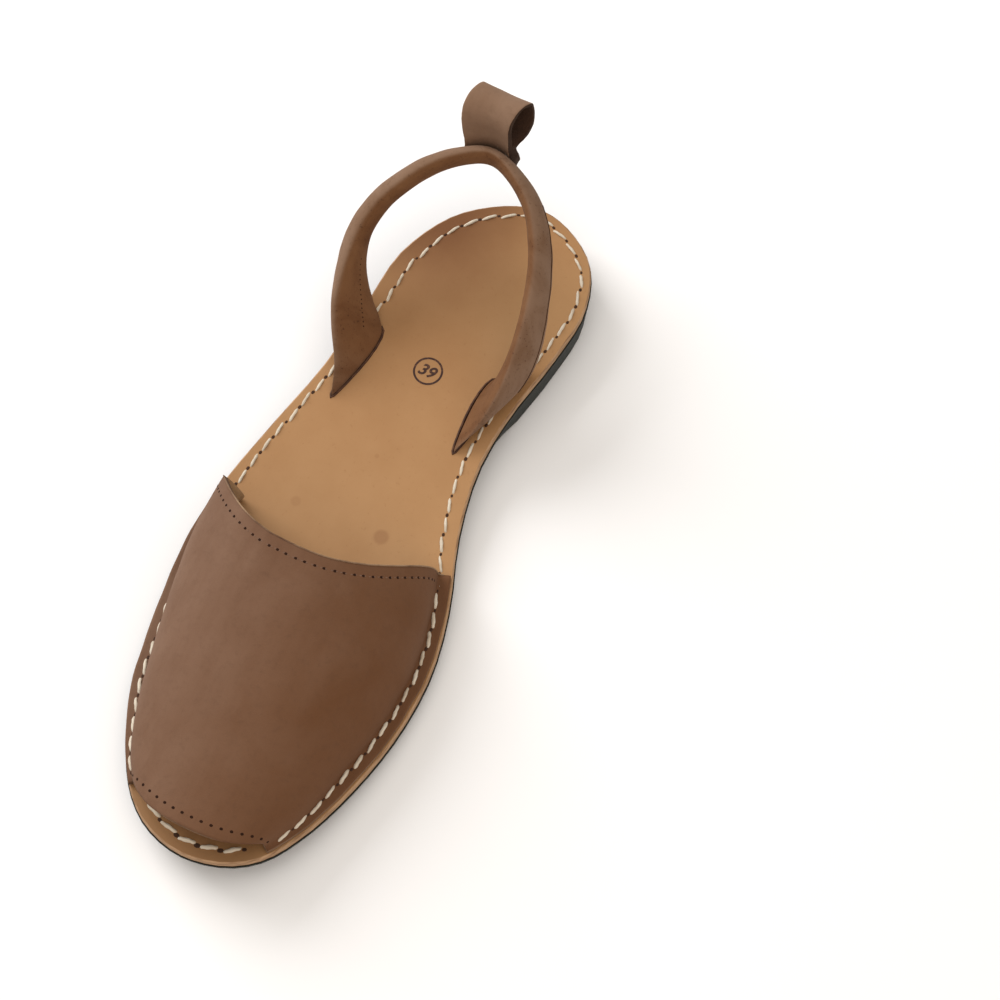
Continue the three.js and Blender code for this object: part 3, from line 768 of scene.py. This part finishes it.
edge_light, edge_dark = (0.075, 0.034, 0.016, 1), (0.030, 0.012, 0.006, 1)
edge_finish = nubuck_finish("dark_strap_edge", edge_light, edge_dark, depth=0.0004)
branch = [  # x, y, z from the heel down to the slot
    (-0.006, -0.0120, 0.0594),
    (-0.0148, -0.0026, 0.0529),
    (-0.0192, 0.0056, 0.0471),
    (-0.0224, 0.0152, 0.0410),
    (-0.0245, 0.0240, 0.0351),
    (-0.0250, 0.0317, 0.0297),
    (-0.0242, 0.0385, 0.0245),
    (-0.0225, 0.0440, 0.0210),
]
aside, edge_radius, edge_lift, steps = Vector((-0.0090, -0.0028, 0.0018)), 0.00022, 0.00005, 6
followed = []
for start, end in zip(branch, branch[1:]):
    for step in range(steps):
        place = Vector(start).lerp(Vector(end), step / steps) + aside
        near, normal, _, _ = strap_tree.find_nearest(place)
        followed.append(near + normal * edge_lift)
cord("strap_cut_edge", followed, edge_radius, edge_finish, closed=False)

# Pull tab: a short folded strip of the same nubuck behind the heel strap, glued over at its neck.
# Its cut sides are dark. Its outer face has painted light: it is lighter and greyer than the strap.
# Its inside is rough suede with painted shade: it is near-black inside the loop.

tab, shape = copy_of("pull_tab", "nubuck_pull_tab")
hole_middle, hole_reach = Vector((0.014, -0.029, 0.0756)), 0.011
for face in shape.faces:
    inward = hole_middle - face.calc_center_median()
    inward.x = 0
    if abs(face.normal.x) > 0.8:
        face.material_index = 1
    elif inward.length < hole_reach and face.normal.dot(inward.normalized()) > 0.1:
        face.material_index = 2
    else:
        face.material_index = 0
bmesh.ops.join_triangles(shape, faces=shape.faces, angle_face_threshold=0.9, angle_shape_threshold=3.0)
crease = shape.edges.layers.float.new("crease_edge")
for face in shape.faces:
    face.smooth = True
for edge in sharp_edges(shape, 1.0):
    edge[crease] = 0.85
shape.to_mesh(tab.data)
shape.free()
mesh = subdivided(tab, 2)
closed_end, tab_width, loop_radius = 0.0237, 0.0195, 0.0075
to_strap, to_crown = Vector((0, 0.906, 0.423)), Vector((0, -0.894, 0.449))
for vert in mesh.vertices:
    place = vert.co - hole_middle
    forward = place.dot(to_strap)
    height = place.dot(to_crown) / loop_radius
    openness = (closed_end - vert.co.x) / tab_width
    bulge = max(0.0011 - 0.00087 * height - 0.00147 * height ** 2, -0.0021)
    far_bulge = 0.0017 * ramp(0, -0.006, forward) * max(1 - ((height + 0.3) / 1.3) ** 2, 0)
    slant = 0.36 * max(forward + 0.002, 0) + 0.0007 * max(height - 0.25, 0) ** 2 - far_bulge
    vert.co.x += slant * openness + bulge * (1 - openness)
mesh.update()
# Painted light and shade: the tab's face is a lighter, greyer copy of the strap's nubuck for the light
# on it, and the inside of the loop is near-black suede for the shade there.
tab_tones = [  # name, light, dark, depth of the grain
    ("tab_nubuck", (0.225, 0.140, 0.092, 1), (0.165, 0.092, 0.054, 1), 0.00016),
    ("dark_tab_edge", (0.036, 0.017, 0.009, 1), (0.014, 0.006, 0.003, 1), 0.0005),
    ("dark_tab_suede", (0.050, 0.024, 0.013, 1), (0.014, 0.006, 0.004, 1), 0.0009),
]
for name, light_tone, dark_tone, depth in tab_tones:
    tab.data.materials.append(nubuck_finish(name, light_tone, dark_tone, depth=depth))

# Floor, studio light and camera: a pale floor and three soft panels. The camera keeps the
# photograph's angle.

shape = bmesh.new()
bmesh.ops.create_grid(shape, x_segments=1, y_segments=1, size=3.0)
floor_mesh = bpy.data.meshes.new("floor")
shape.to_mesh(floor_mesh)
shape.free()
floor = bpy.data.objects.new("floor", floor_mesh)
bpy.context.scene.collection.objects.link(floor)
pale, shader, place = new_finish("pale_floor")
shader.inputs["Base Color"].default_value = (0.86, 0.86, 0.86, 1)
shader.inputs["Roughness"].default_value = 0.9
floor.data.materials.append(pale)

panels = [  # name, place, width, power, tint
    ("window_light", (1.25, -0.30, 0.85), 1.0, 21.0, (1.0, 0.98, 0.98)),
    ("warm_fill", (-1.0, 0.9, 0.9), 1.2, 5.5, (1.0, 0.74, 0.50)),
    ("top_light", (0.1, 0.1, 1.6), 1.4, 8.0, (1.0, 0.93, 0.84)),
]
lit_point = Vector((0, 0.09, 0.02))
for name, spot, width, power, tint in panels:
    light = bpy.data.lights.new(name, "AREA")
    light.energy = power
    light.color = tint
    light.size = width
    lamp = bpy.data.objects.new(name, light)
    bpy.context.scene.collection.objects.link(lamp)
    lamp.location = spot
    lamp.rotation_euler = (lit_point - Vector(spot)).to_track_quat("-Z", "Y").to_euler()
world = bpy.data.worlds.new("studio")
world.use_nodes = True
world.node_tree.nodes["Background"].inputs["Color"].default_value = (1, 1, 1, 1)
world.node_tree.nodes["Background"].inputs["Strength"].default_value = 0.58
bpy.context.scene.world = world
bpy.context.scene.view_settings.view_transform = "Standard"

camera = bpy.data.cameras.new("camera")
camera.sensor_width = 36.0
camera.lens = 86.4
viewer = bpy.data.objects.new("camera", camera)
bpy.context.scene.collection.objects.link(viewer)
stand = Matrix.Translation((-0.1724, 0.38109, 0.76088))
right, up = (-0.89481, -0.44581, 0.02381), (0.41579, -0.81275, 0.40811)
back = (-0.16259, 0.37508, 0.91262)
viewer.matrix_world = stand @ Matrix((right, up, back)).transposed().to_4x4()
bpy.context.scene.camera = viewer
